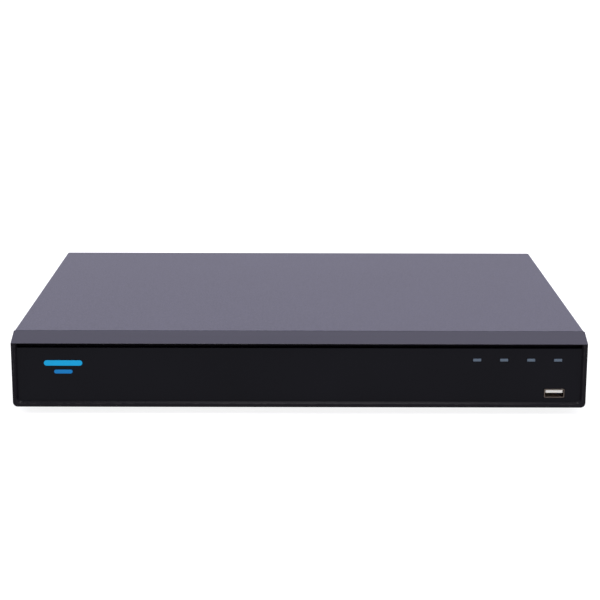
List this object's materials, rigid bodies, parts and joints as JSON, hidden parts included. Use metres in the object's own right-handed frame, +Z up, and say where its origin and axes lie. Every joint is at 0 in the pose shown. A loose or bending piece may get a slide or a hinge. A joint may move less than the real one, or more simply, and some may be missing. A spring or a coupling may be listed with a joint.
{
  "type": "dvr recorder",
  "caption": "Slim video recorder in a sheet-steel case with a moulded front, camera inputs on the back, a hard drive and mainboard inside and a cover that slides off.",
  "frame": {"origin": "on the table under the centre of the object's bounding box, at the bottom of the rubber feet", "axes": "+X along the width to the right as seen from the front, the front faces -Y, +Z up"},
  "size_m": [0.375, 0.284, 0.053],
  "materials": {
    "cover_paint": "fine textured dark grey powder coat",
    "panel_paint": "fine textured black powder coat",
    "zinc_plated_steel": "satin zinc plating",
    "bezel_plastic": "satin moulded black plastic",
    "fascia_plastic": "smooth satin black",
    "badge_blue": "printed cyan and blue",
    "foot_rubber": "matt black",
    "window_plastic": "clear grey-blue",
    "led_white": "white lamp bodies",
    "board_green": "green solder mask",
    "chip_black": "matt moulded black",
    "capacitor_sleeve": "sleeved aluminium",
    "anodised_black": "black anodised",
    "screw_steel": "bright nickel plate",
    "nickel": "bright nickel plate",
    "contact_gold": "gold flash",
    "socket_black": "moulded black",
    "white_plastic": "moulded ivory",
    "audio_plastic": "moulded white",
    "display_blue": "moulded blue",
    "data_blue": "moulded blue",
    "terminal_green": "moulded green",
    "rocker_black": "glossy black",
    "fan_black": "moulded black",
    "drive_casting": "die cast",
    "drive_steel": "pressed stainless lid",
    "platter_mirror": "polished disc",
    "cable_red": "red jacket",
    "cable_black": "black jacket",
    "cable_white": "white jacket"
  },
  "bodies": {
    "chassis": {"base_pan": "zinc_plated_steel", "rear_panel": "panel_paint", "front_bezel": "bezel_plastic", "fascia_panel": "fascia_plastic", "badge": "badge_blue", "rubber_feet": "foot_rubber", "light_pipe": "window_plastic", "front_board": "board_green", "indicator_leds": "led_white", "front_usb_shell": "nickel", "front_usb_tongue": "white_plastic", "mainboard": "board_green", "board_standoffs": "contact_gold", "chassis_screws": "screw_steel", "main_processor": "chip_black", "heat_sink": "anodised_black", "memory_chips": "chip_black", "video_decoders": "chip_black", "capacitors": "capacitor_sleeve", "inductors": "chip_black", "coin_cell": "nickel", "coin_cell_holder": "socket_black", "sata_headers": "data_blue", "wire_headers": "white_plastic", "buzzer": "socket_black", "bnc_housing": "socket_black", "bnc_jacks": "nickel", "bnc_insulators": "white_plastic", "bnc_contacts": "contact_gold", "rca_housing": "socket_black", "rca_jacks": "nickel", "rca_inserts": "audio_plastic", "vga_shell": "nickel", "vga_insert": "display_blue", "vga_jack_screws": "nickel", "hdmi_shell": "nickel", "hdmi_tongue": "socket_black", "lan_usb_shell": "nickel", "lan_usb_insert": "socket_black", "alarm_header": "terminal_green", "dc_jack": "socket_black", "rocker_housing": "socket_black", "fan_frame": "fan_black", "rear_panel_screws": "screw_steel", "drive_case": "drive_casting", "drive_lid": "drive_steel", "drive_board": "board_green", "drive_screws": "screw_steel", "sata_cable": "cable_red", "drive_power_cable": "cable_black", "front_board_cable": "cable_white", "low_voltage_leads": "cable_black"},
    "cover": {"top_cover": "cover_paint", "cover_screws": "screw_steel"},
    "fan": {"fan_rotor": "fan_black"},
    "platters": {"drive_platters": "platter_mirror"},
    "actuator": {"drive_actuator": "drive_casting"},
    "rocker": {"power_rocker": "rocker_black"},
    "plug": {"alarm_plug": "terminal_green", "alarm_plug_screws": "screw_steel"}
  },
  "joints": [
    {"name": "cover_slide", "type": "slide", "parent": "chassis", "child": "cover", "axis": [0, 1, 0], "range_m": [0, 0.262]},
    {"name": "fan_spin", "type": "hinge", "parent": "chassis", "child": "fan", "pos_m": [0.1605, 0.1226, 0.0275], "axis": [0, 1, 0], "continuous": true},
    {"name": "platter_spin", "type": "hinge", "parent": "chassis", "child": "platters", "pos_m": [-0.125, -0.0648, 0.025], "axis": [0, 0, 1], "continuous": true},
    {"name": "arm_swing", "type": "hinge", "parent": "chassis", "child": "actuator", "pos_m": [-0.067, -0.0856, 0.025], "axis": [0, 0, 1], "range_deg": [0, 32]},
    {"name": "rocker_tilt", "type": "hinge", "parent": "chassis", "child": "rocker", "pos_m": [-0.168, 0.1264, 0.0292], "axis": [1, 0, 0], "range_deg": [-16, 0]},
    {"name": "alarm_plug_pull", "type": "slide", "parent": "chassis", "child": "plug", "axis": [0, 1, 0], "range_m": [0, 0.012]}
  ]
}
